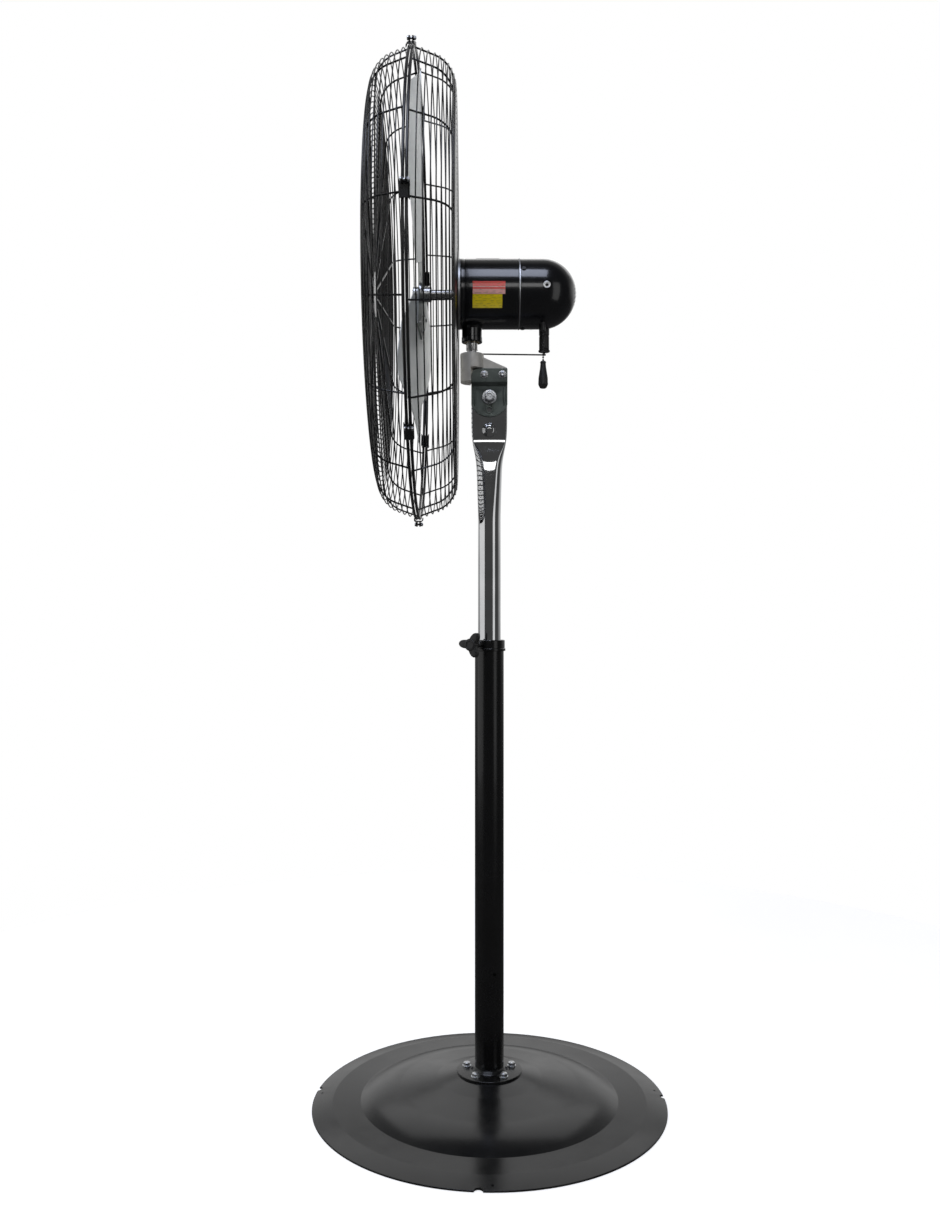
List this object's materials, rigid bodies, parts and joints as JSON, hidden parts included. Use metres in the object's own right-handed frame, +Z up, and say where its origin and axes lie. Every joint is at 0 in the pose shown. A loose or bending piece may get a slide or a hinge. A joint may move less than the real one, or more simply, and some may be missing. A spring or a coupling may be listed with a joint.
{
  "type": "pedestal fan",
  "caption": "Industrial pedestal fan: round steel base, sliding pole with clamp knob, tilting and oscillating enclosed motor, broad blades inside a two-part wire guard.",
  "frame": {"origin": "centre of the base on the floor", "axes": "+Z up the pole; -X is the air outlet at the front of the fan, +X is the rear of the motor; +Y completes a right-handed frame"},
  "size_m": [0.6099, 0.7894, 1.789],
  "materials": {
    "base_black": "semi-gloss charcoal powder coat",
    "pole_black": "satin black paint",
    "cast_iron": "raw casting",
    "zinc": "bright zinc plate",
    "natural_nylon": "natural nylon",
    "knob_black": "moulded black",
    "chrome_tube": "mirror chrome plate",
    "plate_zinc": "dull zinc plate",
    "cast_alloy": "raw cast alloy",
    "steel": "ground steel",
    "link_black": "blackened wire",
    "motor_black": "gloss black paint",
    "brass_bush": "turned brass",
    "end_alloy": "die-cast alloy",
    "copper_wire": "enamelled copper wire",
    "rubber_black": "moulded rubber",
    "label_film": "blank film labels",
    "guard_black": "semi-gloss black powder coat",
    "blade_alloy": "mill finish sheet"
  },
  "bodies": {
    "stand": {"base_pan": "base_black", "base_ballast": "cast_iron", "pole_flange": "pole_black", "flange_bolts": "zinc", "flange_nuts": "zinc", "lower_pole": "pole_black", "pole_collar": "pole_black", "guide_bush": "natural_nylon"},
    "clamp": {"clamp_screw": "zinc", "clamp_knob": "knob_black"},
    "column": {"sliding_tube": "chrome_tube", "tube_foot": "knob_black", "tube_bolt": "chrome_tube", "tube_nut": "zinc"},
    "bracket": {"tilt_plate_near": "plate_zinc", "tilt_plate_far": "plate_zinc", "tilt_bolt": "zinc", "tilt_nut": "zinc", "bracket_screws": "zinc", "swivel_arm": "cast_alloy", "spindle": "steel", "link_anchor": "link_black"},
    "head": {"swivel_neck": "motor_black", "spindle_bush": "brass_bush", "motor_drum": "motor_black", "front_end_plate": "end_alloy", "rear_end_plate": "end_alloy", "rear_cover": "motor_black", "cover_screws": "knob_black", "stator_core": "steel", "stator_windings": "copper_wire", "through_bolts": "zinc", "bearings": "steel", "capacitor": "knob_black", "gearbox": "knob_black", "pull_switch": "knob_black", "cord_gland": "rubber_black", "side_plug": "zinc", "labels": "label_film", "guard_plate": "guard_black", "guard_plate_screws": "zinc", "rear_rings": "guard_black", "rear_side_rings": "guard_black", "rear_ribs": "guard_black", "front_rings": "guard_black", "front_side_rings": "guard_black", "front_ribs": "guard_black", "guard_badge": "guard_black", "guard_clips": "guard_black", "clip_screws": "zinc"},
    "rotor": {"motor_shaft": "steel", "rotor_core": "steel", "worm": "brass_bush", "blade_hub": "end_alloy", "blade_arms": "steel", "blades": "blade_alloy", "blade_rivets": "end_alloy"},
    "crank": {"crank": "knob_black"},
    "link": {"link_rod": "link_black"},
    "chain": {"pull_chain": "knob_black"}
  },
  "joints": [
    {"name": "clamp_turn", "type": "hinge", "parent": "stand", "child": "clamp", "pos_m": [0, 0, 0.793], "axis": [-0.5592, -0.829, 0], "range_deg": [0, 360]},
    {"name": "height_slide", "type": "slide", "parent": "stand", "child": "column", "axis": [0, 0, 1], "range_m": [-0.16, 0.35]},
    {"name": "tilt", "type": "hinge", "parent": "column", "child": "bracket", "pos_m": [0, 0, 1.22], "axis": [0, 1, 0], "range_deg": [-6, 25]},
    {"name": "oscillate", "type": "hinge", "parent": "bracket", "child": "head", "pos_m": [-0.03, 0, 1.3], "axis": [0, 0, 1], "range_deg": [-45, 45]},
    {"name": "rotor_spin", "type": "hinge", "parent": "head", "child": "rotor", "pos_m": [-0.1247, 0, 1.399], "axis": [1, 0, 0], "continuous": true},
    {"name": "crank_turn", "type": "hinge", "parent": "head", "child": "crank", "pos_m": [0.096, 0.014, 1.3], "axis": [0, 0, 1], "range_deg": [-90, 90]},
    {"name": "link_turn", "type": "hinge", "parent": "bracket", "child": "link", "pos_m": [-0.03, 0.014, 1.299], "axis": [0, 0, 1], "range_deg": [-45, 45]},
    {"name": "chain_pull", "type": "slide", "parent": "head", "child": "chain", "axis": [0, 0, -1], "range_m": [0, 0.01], "stiffness_N_per_m": 400}
  ],
  "couplings": [
    {"joint": "crank_turn", "follows": "oscillate", "ratio": -2},
    {"joint": "link_turn", "follows": "oscillate", "ratio": 1}
  ]
}
